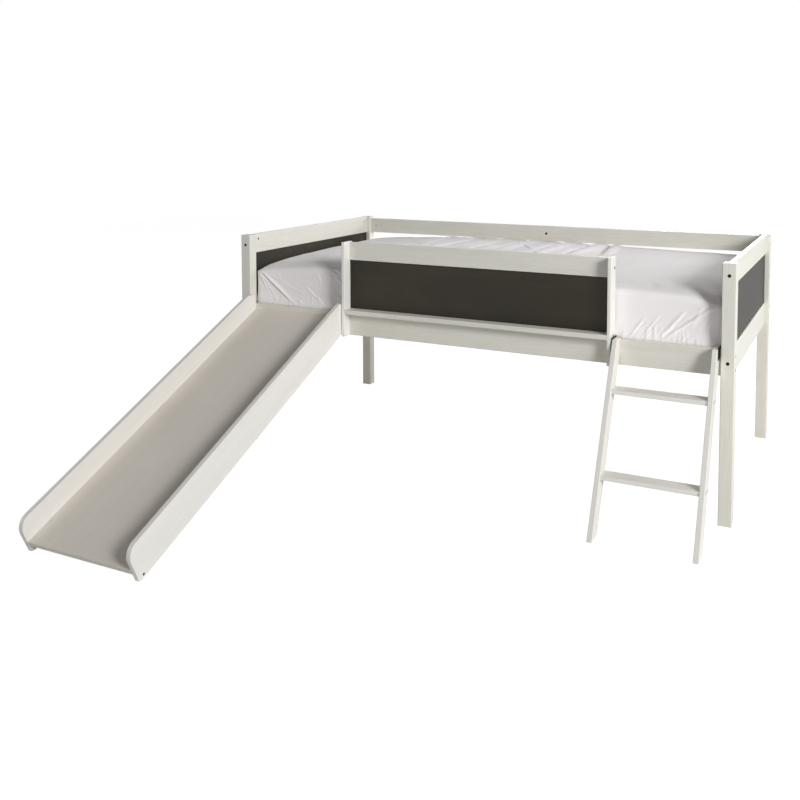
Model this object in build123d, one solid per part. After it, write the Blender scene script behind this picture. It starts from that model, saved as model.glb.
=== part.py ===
from build123d import *
import math
import os

# Low loft bed for a child: a painted pine frame on four posts, with chalkboards at both
# ends and in the front guard, a slatted base, a mattress, and a slide and a ladder that hook
# over the front side rail. Lengths are in millimetres, angles in degrees. X runs along the
# bed, Y from the front to the back, Z up. The origin is on the floor under the middle of
# the box that holds the whole object. Places across the bed are first given as distances
# from the outside of the left end and from the front of the posts.

# Mattress in its fitted sheet, a twin size, with the room that the frame leaves round it
mattress_length = 1933.0
mattress_width = 990.0
mattress_side_height = 200.0
mattress_crown = 30.0
mattress_side_pull = 6.0
mattress_edge_round = 28.0
mattress_corner_round = 20.0
mattress_end_gap = 4.0
mattress_side_gap = 3.5

# Posts
post_size = 45.5
post_height = 895.0
post_corner_round = 3.0

# Boards of the two ends, centred in the posts, with the top rail flush with the post tops
board_edge_round = 2.0
end_rail_thickness = 18.0
end_top_rail_height = 81.0
end_lower_rail_drop = 3.0
end_lower_rail_height = 92.0
end_chalkboard_thickness = 7.0
chalkboard_groove_depth = 6.0
groove_gap = 0.3

# Side rails, centred in the posts at a set distance under their tops, and the slatted base
side_rail_thickness = 20.0
side_rail_height = 91.0
side_rail_drop = 293.0
mattress_base_rise = 69.0
ledger_thickness = 22.0
ledger_height = 32.0
ledger_set_in = 60.0
slat_count = 11
slat_width = 90.0
slat_thickness = 15.0
slat_end_gap = 1.0
slat_screw_set_in = 11.0
ledger_screw_slat_count = 3

# Back guard: two rails between the posts and an upright batten behind them
back_rail_thickness = 20.0
back_rail_height = 72.0
back_top_rail_drop = 9.0
back_rail_gap = 67.0
back_batten_width = 60.0
back_batten_thickness = 12.0

# Front guard: two uprights on edge, a top rail, a chalk ledge and a chalkboard
slide_opening = 473.5
ladder_opening = 368.5
guard_upright_thickness = 13.0
guard_upright_depth = 62.0
guard_front_overhang = 27.0
guard_upright_drop = 3.0
guard_rail_drop = 6.0
guard_rail_height = 71.0
guard_rail_thickness = 20.0
guard_ledge_thickness = 18.0
guard_chalkboard_thickness = 6.0

# Slide: two side panels that stand on the floor, a plywood deck in grooves, and cross bars
slide_side_gap = 3.0
slide_deck_drop = 19.2
slide_foot_distance = 1162.0
slide_panel_thickness = 18.0
slide_panel_width = 121.0
slide_foot_trim = 5.0
slide_nose_round = 43.0
slide_panel_stand = 40.0
slide_panel_top_round = 22.0
slide_deck_lift = 46.0
slide_deck_thickness = 16.0
slide_groove_depth = 5.0
slide_foot_bar_set_in = 16.0
slide_foot_bar_thickness = 18.0
slide_foot_bar_height = 24.0
slide_foot_screw_set_in = 7.0
slide_foot_screw_rise = 5.5
slide_batten_width = 45.0
slide_batten_thickness = 18.0
slide_batten_shares = [0.36, 0.68]
slide_top_bar_depth = 22.0
slide_top_bar_rise = 4.0

# Ladder: two leaning stiles and two flat treads
ladder_side_gap = 6.3
ladder_stile_thickness = 18.0
ladder_stile_width = 57.0
ladder_foot_distance = 320.0
ladder_top_distance = 26.6
ladder_top_stand = 5.0
ladder_tread_thickness = 15.0
ladder_tread_depth = 60.0
ladder_tread_shares = [0.315, 0.741]
ladder_tread_set_back = 1.5

# Steel hooks that carry the slide and the ladder on the front side rail
hook_thickness = 2.0
hook_arm_height = 9.0
hook_plate_height = 42.0
hook_plate_length = 34.0
hook_tongue_thickness = 2.0
hook_tongue_drop = 20.0
hook_seat_gap = 0.3

# Bolts with a flat socket head sunk in the wood, the nuts that they screw into, and screws
bolt_radius = 3.0
bolt_hole_gap = 0.4
bolt_head_radius = 5.8
bolt_head_height = 3.0
bolt_head_sink = 0.4
bolt_socket_radius = 2.3
bolt_socket_depth = 2.0
bolt_reach = 42.0
nut_distance = 30.0
nut_radius = 5.0
nut_length = 14.0
nut_gap = 0.1
insert_radius = 5.0
insert_length = 15.0
screw_radius = 2.0
screw_head_radius = 4.2
screw_head_height = 2.5
screw_gap = 0.1
ledger_screw_length = 36.0
slat_screw_length = 34.0
guard_screw_length = 45.0
hook_screw_length = 12.0
foot_bar_screw_length = 48.0
tread_screw_length = 50.0
dowel_radius = 4.0
dowel_length = 28.0
dowel_panel_depth = 9.0
dowel_gap = 0.1
plug_radius = 4.5
plug_depth = 6.0
plug_distance = 33.0

# Places of the bolts, up from the lower edge of a rail or down from the top of a post
front_end_top_bolt_drop = 42.4
back_end_top_bolt_drop = 22.0
end_lower_bolt_rise = 48.8
side_rail_bolt_rises = [22.0, 69.0]
guard_rail_bolt_rise = 34.6

# Room between pieces that come apart
loose_gap = 0.3
cut_overrun = 2.0

# Places that follow from the sizes above, first those across the bed from the posts' front
guard_reach_back = guard_upright_depth - guard_front_overhang
bed_length = mattress_length + 2 * (post_size + mattress_end_gap)
bed_width = mattress_width + 2 * (guard_reach_back + mattress_side_gap)
side_rail_top = post_height - side_rail_drop
side_rail_bottom = side_rail_top - side_rail_height
side_rail_set_back = (post_size - side_rail_thickness) / 2

# The slide's slope runs from its foot to a set distance under the top of the side rail
slide_run = slide_foot_distance + side_rail_set_back - loose_gap
slide_head_height = side_rail_top - slide_deck_drop
deck_above_tip = slide_deck_lift - slide_foot_trim
slide_slope = (math.acos(deck_above_tip / math.hypot(slide_run, slide_head_height))
               - math.atan2(slide_run, slide_head_height))
slope_sine = math.sin(slide_slope)
slope_cosine = math.cos(slide_slope)
panel_above_tip = slide_panel_width - slide_foot_trim
nose_centre_rise = panel_above_tip - slide_nose_round
nose_reach = nose_centre_rise * slope_sine + slide_nose_round * (1 - slope_cosine)
slide_reach = slide_foot_distance + nose_reach

# Places along the bed, across it and up
left = -bed_length / 2
right = bed_length / 2
front = (slide_reach - bed_width) / 2
back = front + bed_width
left_post_middle = left + post_size / 2
right_post_middle = right - post_size / 2
front_post_middle = front + post_size / 2
back_post_middle = back - post_size / 2
inner_left = left + post_size
inner_right = right - post_size
inner_front = front + post_size
inner_back = back - post_size
mattress_bottom = side_rail_bottom + mattress_base_rise
end_top_rail_bottom = post_height - end_top_rail_height
end_lower_rail_bottom = side_rail_bottom - end_lower_rail_drop
end_lower_rail_top = end_lower_rail_bottom + end_lower_rail_height
front_rail_face = front_post_middle - side_rail_thickness / 2
front_rail_back = front_post_middle + side_rail_thickness / 2
back_rail_face = back_post_middle - side_rail_thickness / 2
guard_front = front - guard_front_overhang
guard_back = front + guard_reach_back
guard_left = inner_left + slide_opening
guard_right = inner_right - ladder_opening
guard_inner_left = guard_left + guard_upright_thickness
guard_inner_right = guard_right - guard_upright_thickness
guard_upright_top = post_height - guard_upright_drop
guard_rail_bottom = post_height - guard_rail_drop - guard_rail_height
ledge_top = side_rail_top + guard_ledge_thickness
back_top_rail_bottom = post_height - back_top_rail_drop - back_rail_height
back_lower_rail_bottom = back_top_rail_bottom - back_rail_gap - back_rail_height
x_axis = Vector(1, 0, 0)
y_axis = Vector(0, 1, 0)
z_axis = Vector(0, 0, 1)

pieces = {}


# Shapes shared by many pieces
def block(low, high):
    """A plain box between two opposite corners."""
    size = [high[i] - low[i] for i in range(3)]
    middle = [(high[i] + low[i]) / 2 for i in range(3)]
    return Pos(*middle) * Box(*size)


def board(low, high, grain):
    """A board between two corners, with its four edges along the grain rounded over."""
    plain = block(low, high)
    return fillet(plain.edges().filter_by(grain), board_edge_round)


def prism(outline, x_low, x_high):
    """A solid with an outline of (Y, Z) points, carried along X."""
    corners = [(x_low, y, z) for y, z in outline]
    face = make_face(Polyline(*corners, close=True))
    return extrude(face, amount=x_high - x_low, dir=(1, 0, 0))


def round_outline(panel):
    """Rounds the edges round both faces of a panel that was carried along X."""
    cross_edges = panel.edges().filter_by(Axis.X)
    return fillet([edge for edge in panel.edges() if edge not in cross_edges], board_edge_round)


def rod(start, direction, length, radius):
    """A round bar of one radius from a start point along a direction."""
    base = Plane(origin=start, z_dir=direction)
    return base.location * Cylinder(radius, length, align=(Align.CENTER, Align.CENTER, Align.MIN))


def drill(names, cutter):
    """Takes the same cutter away from each named piece."""
    for name in names:
        pieces[name] = pieces[name] - cutter


def gather(name, solids):
    """Puts a group of separate small solids in one named piece."""
    pieces[name] = Compound(children=[solid.solid() for solid in solids])


# Bolts, nuts and screws, each with the hole that takes it
def bolt(face_point, inward, reach):
    """A bolt from a face, reaching a depth under it, with a hexagonal socket in its head."""
    head_start = face_point + inward * bolt_head_sink
    head = rod(head_start, inward, bolt_head_height, bolt_head_radius)
    shank = rod(head_start, inward, reach - bolt_head_sink, bolt_radius)
    base = Plane(origin=head_start, z_dir=inward)
    socket_face = base.location * RegularPolygon(bolt_socket_radius, side_count=6)
    socket = extrude(socket_face, amount=bolt_socket_depth, dir=inward)
    return head + shank - socket


def bolt_hole(face_point, inward, reach):
    """The clearance hole of a bolt, with a flat seat for its head."""
    start = face_point - inward * cut_overrun
    seat_depth = cut_overrun + bolt_head_sink + bolt_head_height
    seat = rod(start, inward, seat_depth, bolt_head_radius + bolt_hole_gap)
    bore = rod(start, inward, cut_overrun + reach + bolt_hole_gap, bolt_radius + bolt_hole_gap)
    return seat + bore


def barrel_nut(middle, axis, bolt_direction):
    """A round cross nut: a short bar with a hole through it for the bolt."""
    body = rod(middle - axis * (nut_length / 2), axis, nut_length, nut_radius)
    bore_start = middle - bolt_direction * (nut_radius + cut_overrun)
    bore_length = 2 * (nut_radius + cut_overrun)
    return body - rod(bore_start, bolt_direction, bore_length, bolt_radius + nut_gap)


def barrel_nut_hole(middle, axis, face_distance):
    """The blind hole of a cross nut, open at the face that lies at a distance along its axis."""
    start = middle - axis * (nut_length / 2)
    depth = nut_length / 2 + face_distance + cut_overrun
    return rod(start, axis, depth, nut_radius + nut_gap)


def insert_nut(mouth, inward):
    """A threaded sleeve pressed into end grain."""
    sleeve = rod(mouth, inward, insert_length, insert_radius)
    return sleeve - rod(mouth, inward, insert_length, bolt_radius + nut_gap)


def screw(face_point, inward, length):
    """A wood screw with a cone head flush with the face."""
    shank = rod(face_point, inward, length, screw_radius)
    base = Plane(origin=face_point, z_dir=inward)
    cone = Cone(screw_head_radius, screw_radius, screw_head_height,
                align=(Align.CENTER, Align.CENTER, Align.MIN))
    return base.location * cone + shank


def screw_hole(face_point, inward, length):
    """The hole of a screw, with a cone seat for its head."""
    start = face_point - inward * cut_overrun
    shank = rod(start, inward, cut_overrun + length + screw_gap, screw_radius + screw_gap)
    base = Plane(origin=face_point, z_dir=inward)
    cone = Cone(screw_head_radius + screw_gap, screw_radius + screw_gap, screw_head_height,
                align=(Align.CENTER, Align.CENTER, Align.MIN))
    mouth = rod(start, inward, cut_overrun, screw_head_radius + screw_gap)
    return base.location * cone + shank + mouth


# Posts: square, with rounded corners and a level top
for side, x_low in {"left": left, "right": inner_right}.items():
    for row, y_low in {"front": front, "back": inner_back}.items():
        post = block((x_low, y_low, 0), (x_low + post_size, y_low + post_size, post_height))
        pieces[f"post_{row}_{side}"] = fillet(post.edges().filter_by(Axis.Z), post_corner_round)

# Ends: two rails with a chalkboard held in grooves between them
for side, x_middle in {"left": left_post_middle, "right": right_post_middle}.items():
    x_low = x_middle - end_rail_thickness / 2
    x_high = x_middle + end_rail_thickness / 2
    top_rail = board((x_low, inner_front, end_top_rail_bottom),
                     (x_high, inner_back, post_height), Axis.Y)
    lower_rail = board((x_low, inner_front, end_lower_rail_bottom),
                       (x_high, inner_back, end_lower_rail_top), Axis.Y)
    board_half = end_chalkboard_thickness / 2
    groove_half = board_half + groove_gap
    groove = block((x_middle - groove_half, inner_front - cut_overrun,
                    end_lower_rail_top - chalkboard_groove_depth - groove_gap),
                   (x_middle + groove_half, inner_back + cut_overrun,
                    end_top_rail_bottom + chalkboard_groove_depth + groove_gap))
    pieces[f"{side}_end_top_rail"] = top_rail - groove
    pieces[f"{side}_end_lower_rail"] = lower_rail - groove
    pieces[f"{side}_end_chalkboard"] = block(
        (x_middle - board_half, inner_front + groove_gap,
         end_lower_rail_top - chalkboard_groove_depth),
        (x_middle + board_half, inner_back - groove_gap,
         end_top_rail_bottom + chalkboard_groove_depth))

# Side rails and the ledgers screwed along their inner faces
for row, face in {"front": front_rail_face, "back": back_rail_face}.items():
    pieces[f"{row}_side_rail"] = board((inner_left, face, side_rail_bottom),
                                       (inner_right, face + side_rail_thickness, side_rail_top),
                                       Axis.X)
ledger_top = mattress_bottom - slat_thickness
ledger_left = inner_left + ledger_set_in
ledger_right = inner_right - ledger_set_in
ledger_faces = {"front": front_rail_back, "back": back_rail_face - ledger_thickness}
for row, face in ledger_faces.items():
    pieces[f"{row}_slat_ledger"] = board((ledger_left, face, ledger_top - ledger_height),
                                         (ledger_right, face + ledger_thickness, ledger_top),
                                         Axis.X)

# Slats across the bed, from one ledger to the other, evenly spaced
slat_pitch = (ledger_right - ledger_left - slat_width) / (slat_count - 1)
slat_names = [f"slat_{number:02d}" for number in range(1, slat_count + 1)]
slat_lefts = [ledger_left + place * slat_pitch for place in range(slat_count)]
for name, x_low in zip(slat_names, slat_lefts):
    pieces[name] = board((x_low, front_rail_back + slat_end_gap, ledger_top),
                         (x_low + slat_width, back_rail_face - slat_end_gap, mattress_bottom),
                         Axis.Y)

# Back guard: two rails between the back posts and a batten up their outer faces
back_guard_face = back_post_middle - back_rail_thickness / 2
back_guard_rear = back_post_middle + back_rail_thickness / 2
back_rail_bottoms = {"top": back_top_rail_bottom, "lower": back_lower_rail_bottom}
for level, z_low in back_rail_bottoms.items():
    pieces[f"back_guard_{level}_rail"] = board(
        (inner_left, back_guard_face, z_low),
        (inner_right, back_guard_rear, z_low + back_rail_height), Axis.X)
pieces["back_guard_batten"] = board(
    (-back_batten_width / 2, back_guard_rear, side_rail_bottom),
    (back_batten_width / 2, back_guard_rear + back_batten_thickness,
     back_top_rail_bottom + back_rail_height), Axis.Z)

# Front guard: uprights notched over the side rail, a ledge on it, a top rail and a chalkboard
upright_outline = [
    (guard_front, side_rail_bottom), (front_rail_face, side_rail_bottom),
    (front_rail_face, side_rail_top), (guard_back, side_rail_top),
    (guard_back, guard_upright_top), (guard_front, guard_upright_top)]
for side, x_low in {"left": guard_left, "right": guard_inner_right}.items():
    upright = prism(upright_outline, x_low, x_low + guard_upright_thickness)
    outer_edges = upright.edges().filter_by(Axis.Z).group_by(Axis.Y)
    pieces[f"guard_{side}_upright"] = fillet(outer_edges[0] + outer_edges[-1], board_edge_round)
guard_rail_face = front_post_middle - guard_rail_thickness / 2
guard_rail = board((guard_inner_left, guard_rail_face, guard_rail_bottom),
                   (guard_inner_right, guard_rail_face + guard_rail_thickness,
                    guard_rail_bottom + guard_rail_height), Axis.X)
guard_ledge = board((guard_inner_left, guard_front, side_rail_top),
                    (guard_inner_right, guard_back, ledge_top), Axis.X)
guard_board_half = guard_chalkboard_thickness / 2
guard_groove_half = guard_board_half + groove_gap
guard_groove = block((guard_inner_left - cut_overrun, front_post_middle - guard_groove_half,
                      ledge_top - chalkboard_groove_depth - groove_gap),
                     (guard_inner_right + cut_overrun, front_post_middle + guard_groove_half,
                      guard_rail_bottom + chalkboard_groove_depth + groove_gap))
pieces["guard_top_rail"] = guard_rail - guard_groove
pieces["guard_chalk_ledge"] = guard_ledge - guard_groove
pieces["guard_chalkboard"] = block(
    (guard_inner_left + groove_gap, front_post_middle - guard_board_half,
     ledge_top - chalkboard_groove_depth),
    (guard_inner_right - groove_gap, front_post_middle + guard_board_half,
     guard_rail_bottom + chalkboard_groove_depth))


# Slide: places along and across its slope, from where the end cut meets the floor
def on_slope(along, across):
    """The (Y, Z) point at a distance up the slope and a distance square to it."""
    y = front - slide_foot_distance + along * slope_cosine - across * slope_sine
    return (y, along * slope_sine + across * slope_cosine)


def slope_reaches(y, across):
    """The distance up the slope at which a line parallel to it reaches a Y."""
    return (y - front + slide_foot_distance + across * slope_sine) / slope_cosine


slide_left = inner_left + slide_side_gap
slide_right = guard_left - slide_side_gap
slide_end_y = front_rail_face - loose_gap
slide_panel_top = side_rail_top + slide_panel_stand
panel_low = -slide_foot_trim
deck_high = deck_above_tip
deck_low = deck_high - slide_deck_thickness
floor_back = slide_foot_trim / slope_sine
level_start = (slide_panel_top - panel_above_tip * slope_cosine) / slope_sine
panel_outline = [
    on_slope(0, 0), on_slope(0, panel_above_tip), on_slope(level_start, panel_above_tip),
    (slide_end_y, slide_panel_top), on_slope(slope_reaches(slide_end_y, panel_low), panel_low),
    (on_slope(0, 0)[0] + floor_back, 0)]
deck_outline = [
    on_slope(0, deck_low), on_slope(0, deck_high),
    on_slope(slope_reaches(slide_end_y, deck_high), deck_high),
    on_slope(slope_reaches(slide_end_y, deck_low), deck_low)]
groove_outline = [
    on_slope(-cut_overrun, deck_low), on_slope(-cut_overrun, deck_high),
    on_slope(slope_reaches(front_rail_back, deck_high), deck_high),
    on_slope(slope_reaches(front_rail_back, deck_low), deck_low)]
deck_left = slide_left + slide_panel_thickness - slide_groove_depth
deck_right = slide_right - slide_panel_thickness + slide_groove_depth
for side, x_low in {"left": slide_left, "right": slide_right - slide_panel_thickness}.items():
    panel = prism(panel_outline, x_low, x_low + slide_panel_thickness)
    cross_edges = panel.edges().filter_by(Axis.X)
    nose_edge = cross_edges.sort_by(Axis.Y)[0]
    panel = fillet(nose_edge, slide_nose_round)
    top_edge = panel.edges().filter_by(Axis.X).sort_by(lambda edge: edge.center().Y + edge.center().Z)
    panel = fillet(top_edge[-1], slide_panel_top_round)
    pieces[f"slide_{side}_side"] = round_outline(panel) - prism(
        groove_outline, deck_left, deck_right)
pieces["slide_deck"] = prism(deck_outline, deck_left + groove_gap, deck_right - groove_gap)

# Cross bars between the side panels, under the deck
bar_left = slide_left + slide_panel_thickness
bar_right = slide_right - slide_panel_thickness


def cross_bar(along_low, thickness, height):
    """A bar square to the slope, with its top face against the underside of the deck."""
    outline = [on_slope(along_low, deck_low), on_slope(along_low, deck_low - height),
               on_slope(along_low + thickness, deck_low - height),
               on_slope(along_low + thickness, deck_low)]
    return prism(outline, bar_left, bar_right)


pieces["slide_foot_bar"] = cross_bar(slide_foot_bar_set_in, slide_foot_bar_thickness,
                                     slide_foot_bar_height)
slide_deck_length = slope_reaches(slide_end_y, deck_low)
batten_starts = {}
for name, share in zip(["slide_lower_batten", "slide_upper_batten"], slide_batten_shares):
    batten_starts[name] = share * slide_deck_length - slide_batten_width / 2
    pieces[name] = cross_bar(batten_starts[name], slide_batten_width, slide_batten_thickness)
top_bar_front = slide_end_y - slide_top_bar_depth
slide_top_bar_bottom = side_rail_bottom + slide_top_bar_rise
pieces["slide_top_bar"] = prism(
    [(top_bar_front, slide_top_bar_bottom), (slide_end_y, slide_top_bar_bottom),
     on_slope(slope_reaches(slide_end_y, deck_low), deck_low),
     on_slope(slope_reaches(top_bar_front, deck_low), deck_low)], bar_left, bar_right)

# Ladder: stiles cut level at the foot and the top, and plumb against the side rail
ladder_top_height = side_rail_top + ladder_top_stand
lean_tangent = (ladder_foot_distance - ladder_top_distance) / ladder_top_height
stile_run = ladder_stile_width / math.cos(math.atan(lean_tangent))
ladder_foot_y = front - ladder_foot_distance
ladder_left = guard_right + ladder_side_gap
ladder_right = inner_right - ladder_side_gap
stile_end_y = front_rail_face - loose_gap


def ladder_front(z):
    """The Y of the front edges of the stiles at a height."""
    return ladder_foot_y + z * lean_tangent


stile_outline = [
    (ladder_foot_y, 0), (ladder_front(ladder_top_height), ladder_top_height),
    (stile_end_y, ladder_top_height),
    (stile_end_y, (stile_end_y - ladder_foot_y - stile_run) / lean_tangent),
    (ladder_foot_y + stile_run, 0)]
for side, x_low in {"left": ladder_left, "right": ladder_right - ladder_stile_thickness}.items():
    stile = prism(stile_outline, x_low, x_low + ladder_stile_thickness)
    pieces[f"ladder_{side}_stile"] = round_outline(stile)
tread_left = ladder_left + ladder_stile_thickness
tread_right = ladder_right - ladder_stile_thickness
ladder_tread_tops = {}
for name, share in zip(["ladder_lower_tread", "ladder_upper_tread"], ladder_tread_shares):
    ladder_tread_tops[name] = share * ladder_top_height
for name, z_high in ladder_tread_tops.items():
    y_low = ladder_front(z_high) + ladder_tread_set_back
    pieces[name] = board((tread_left, y_low, z_high - ladder_tread_thickness),
                         (tread_right, y_low + ladder_tread_depth, z_high), Axis.X)

# Hooks: a plate on the side of a panel or stile, an arm over the rail and a tongue behind it
arm_low = side_rail_top + hook_seat_gap
arm_high = arm_low + hook_arm_height
tongue_front = front_rail_back + hook_seat_gap
tongue_back = tongue_front + hook_tongue_thickness
plate_back = front_rail_face - loose_gap
plate_front = plate_back - hook_plate_length
hook_outline = [
    (plate_front, arm_high - hook_plate_height), (plate_front, arm_high),
    (tongue_back, arm_high), (tongue_back, arm_low - hook_tongue_drop),
    (tongue_front, arm_low - hook_tongue_drop), (tongue_front, arm_low),
    (plate_back, arm_low), (plate_back, arm_high - hook_plate_height)]
hook_lefts = {
    "slide_hooks": [slide_left - hook_thickness, slide_right],
    "ladder_hooks": [ladder_left - hook_thickness, ladder_right]}
for name, x_lows in hook_lefts.items():
    gather(name, [prism(hook_outline, x_low, x_low + hook_thickness) for x_low in x_lows])

# Mattress: sections of a rounded rectangle that draw in between its edges, then rise to a crown
half_height_shares = {
    "foot": 0.0, "low_edge": 0.16, "waist": 0.5, "high_edge": 0.84, "shoulder": 0.96, "rim": 1.0}
mattress_floor = mattress_bottom + loose_gap
mattress_sections = [
    (half_height_shares["foot"] * mattress_side_height, mattress_edge_round / 2),
    (half_height_shares["low_edge"] * mattress_side_height, 0),
    (half_height_shares["waist"] * mattress_side_height, mattress_side_pull),
    (half_height_shares["high_edge"] * mattress_side_height, 0),
    (half_height_shares["shoulder"] * mattress_side_height, mattress_edge_round / 3),
    (half_height_shares["rim"] * mattress_side_height, mattress_edge_round)]
crown_shares = {0.25: 0.5, 0.55: 0.85, 0.8: 1.0}
for inset_share, rise_share in crown_shares.items():
    mattress_sections.append((mattress_side_height + rise_share * mattress_crown,
                              inset_share * mattress_width / 2))
sheets = []
for rise, inset in mattress_sections:
    corner_round = min(mattress_corner_round, mattress_width / 2 - inset - mattress_side_pull)
    section = RectangleRounded(mattress_length - 2 * inset, mattress_width - 2 * inset, corner_round)
    middle_y = (front + back) / 2
    sheets.append(Pos(0, middle_y, mattress_floor + rise) * section)
pieces["mattress"] = loft(sheets, ruled=True)

# Bolts from the front and back faces of the posts into the ends of the end rails
barrel_nuts = []
insert_nuts = []
end_rail_bolts = []
post_bolt_reach = post_size + bolt_reach
back_end_top_bolt_height = post_height - back_end_top_bolt_drop
end_lower_bolt_height = end_lower_rail_bottom + end_lower_bolt_rise
end_bolt_heights = {
    ("front", "top"): post_height - front_end_top_bolt_drop,
    ("back", "top"): back_end_top_bolt_height,
    ("front", "lower"): end_lower_bolt_height,
    ("back", "lower"): end_lower_bolt_height}
for side, x_middle in {"left": left_post_middle, "right": right_post_middle}.items():
    inner_side = x_axis if side == "left" else -x_axis
    for (row, level), height in end_bolt_heights.items():
        inward = y_axis if row == "front" else -y_axis
        face_y = front if row == "front" else back
        face_point = Vector(x_middle, face_y, height)
        end_rail_bolts.append(bolt(face_point, inward, post_bolt_reach))
        rail = f"{side}_end_{level}_rail"
        drill([f"post_{row}_{side}", rail], bolt_hole(face_point, inward, post_bolt_reach))
        if (row, level) == ("back", "top"):
            middle = face_point + inward * (post_size + nut_distance)
            barrel_nuts.append(barrel_nut(middle, inner_side, inward))
            drill([rail], barrel_nut_hole(middle, inner_side, end_rail_thickness / 2))
        else:
            mouth = face_point + inward * post_size
            insert_nuts.append(insert_nut(mouth, inward))
            drill([rail], rod(mouth, inward, insert_length, insert_radius + nut_gap))
gather("end_rail_bolts", end_rail_bolts)

# Plugged holes in the inner faces of the end top rails, near the front posts
plugs = []
for side, x_middle in {"left": left_post_middle, "right": right_post_middle}.items():
    inner_side = x_axis if side == "left" else -x_axis
    inner_x = x_middle + inner_side.X * end_rail_thickness / 2
    face_point = Vector(inner_x, inner_front + plug_distance, back_end_top_bolt_height)
    plugs.append(rod(face_point, -inner_side, plug_depth, plug_radius))
    plug_start = face_point + inner_side * cut_overrun
    drill([f"{side}_end_top_rail"], rod(plug_start, -inner_side, cut_overrun + plug_depth,
                                        plug_radius + nut_gap))
gather("rail_hole_plugs", plugs)


# Bolts along X through a post or upright into a rail, with a cross nut from the inner face
def rail_end_bolt(face_point, inward, skin, skin_names, rail, inner_side, inner_distance):
    """Adds the cross nut, drills all the pieces, and gives the bolt back."""
    reach = skin + bolt_reach
    drill(skin_names + [rail], bolt_hole(face_point, inward, reach))
    middle = face_point + inward * (skin + nut_distance)
    barrel_nuts.append(barrel_nut(middle, inner_side, inward))
    drill([rail], barrel_nut_hole(middle, inner_side, inner_distance))
    return bolt(face_point, inward, reach)


side_rail_bolts = []
back_guard_bolts = []
for side, face_x in {"left": left, "right": right}.items():
    inward = x_axis if side == "left" else -x_axis
    for row, y_middle in {"front": front_post_middle, "back": back_post_middle}.items():
        inner_side = y_axis if row == "front" else -y_axis
        for rise in side_rail_bolt_rises:
            face_point = Vector(face_x, y_middle, side_rail_bottom + rise)
            side_rail_bolts.append(rail_end_bolt(
                face_point, inward, post_size, [f"post_{row}_{side}"],
                f"{row}_side_rail", inner_side, side_rail_thickness / 2))
    for level, z_low in back_rail_bottoms.items():
        back_guard_bolts.append(rail_end_bolt(
            Vector(face_x, back_post_middle, z_low + back_rail_height / 2), inward, post_size,
            [f"post_back_{side}"], f"back_guard_{level}_rail", -y_axis, back_rail_thickness / 2))
gather("side_rail_bolts", side_rail_bolts)

# Bolts from the inner faces of the back rails into the batten behind them
batten_heights = {
    "back_side_rail": side_rail_bottom + side_rail_height / 2,
    "back_guard_lower_rail": back_lower_rail_bottom + back_rail_height / 2,
    "back_guard_top_rail": back_top_rail_bottom + back_rail_height / 2}
batten_bolt_reach = back_rail_thickness + back_batten_thickness - bolt_head_sink - bolt_hole_gap
for rail, height in batten_heights.items():
    face_point = Vector(0, back_guard_face, height)
    back_guard_bolts.append(bolt(face_point, y_axis, batten_bolt_reach))
    hole = bolt_hole(face_point, y_axis, batten_bolt_reach - bolt_hole_gap)
    drill([rail, "back_guard_batten"], hole)
gather("back_guard_bolts", back_guard_bolts)

# Bolts through the guard's uprights into its top rail and its ledge
front_guard_bolts = []
for side, face_x in {"left": guard_left, "right": guard_right}.items():
    inward = x_axis if side == "left" else -x_axis
    upright = f"guard_{side}_upright"
    face_point = Vector(face_x, front_post_middle, guard_rail_bottom + guard_rail_bolt_rise)
    front_guard_bolts.append(rail_end_bolt(
        face_point, inward, guard_upright_thickness, [upright], "guard_top_rail", y_axis,
        guard_rail_thickness / 2))
    face_point = Vector(face_x, front_rail_face, side_rail_top + guard_ledge_thickness / 2)
    ledge_reach = guard_upright_thickness + bolt_reach
    front_guard_bolts.append(bolt(face_point, inward, ledge_reach))
    drill([upright, "guard_chalk_ledge"], bolt_hole(face_point, inward, ledge_reach))
    mouth = face_point + inward * guard_upright_thickness
    insert_nuts.append(insert_nut(mouth, inward))
    drill(["guard_chalk_ledge"], rod(mouth, inward, insert_length, insert_radius + nut_gap))
gather("front_guard_bolts", front_guard_bolts)
gather("barrel_nuts", barrel_nuts)
gather("insert_nuts", insert_nuts)

# Screws from behind the front side rail into the uprights, and from the ledgers into the
# rails, these in every third gap between slats
frame_screws = []
upright_middles = {
    "left": guard_left + guard_upright_thickness / 2,
    "right": guard_right - guard_upright_thickness / 2}
upright_screw_shares = [0.2, 0.8]
for side, x_middle in upright_middles.items():
    for share in upright_screw_shares:
        height = side_rail_bottom + share * side_rail_height
        face_point = Vector(x_middle, front_rail_back, height)
        frame_screws.append(screw(face_point, -y_axis, guard_screw_length))
        drill(["front_side_rail", f"guard_{side}_upright"],
              screw_hole(face_point, -y_axis, guard_screw_length))
ledger_screw_places = [
    x_low + (slat_width + slat_pitch) / 2 for x_low in slat_lefts[:-1:ledger_screw_slat_count]]
for row, face in ledger_faces.items():
    outward = -y_axis if row == "front" else y_axis
    inner_face = face + ledger_thickness if row == "front" else face
    for x_place in ledger_screw_places:
        face_point = Vector(x_place, inner_face, ledger_top - ledger_height / 2)
        frame_screws.append(screw(face_point, outward, ledger_screw_length))
        drill([f"{row}_slat_ledger", f"{row}_side_rail"],
              screw_hole(face_point, outward, ledger_screw_length))
gather("frame_screws", frame_screws)

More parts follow.
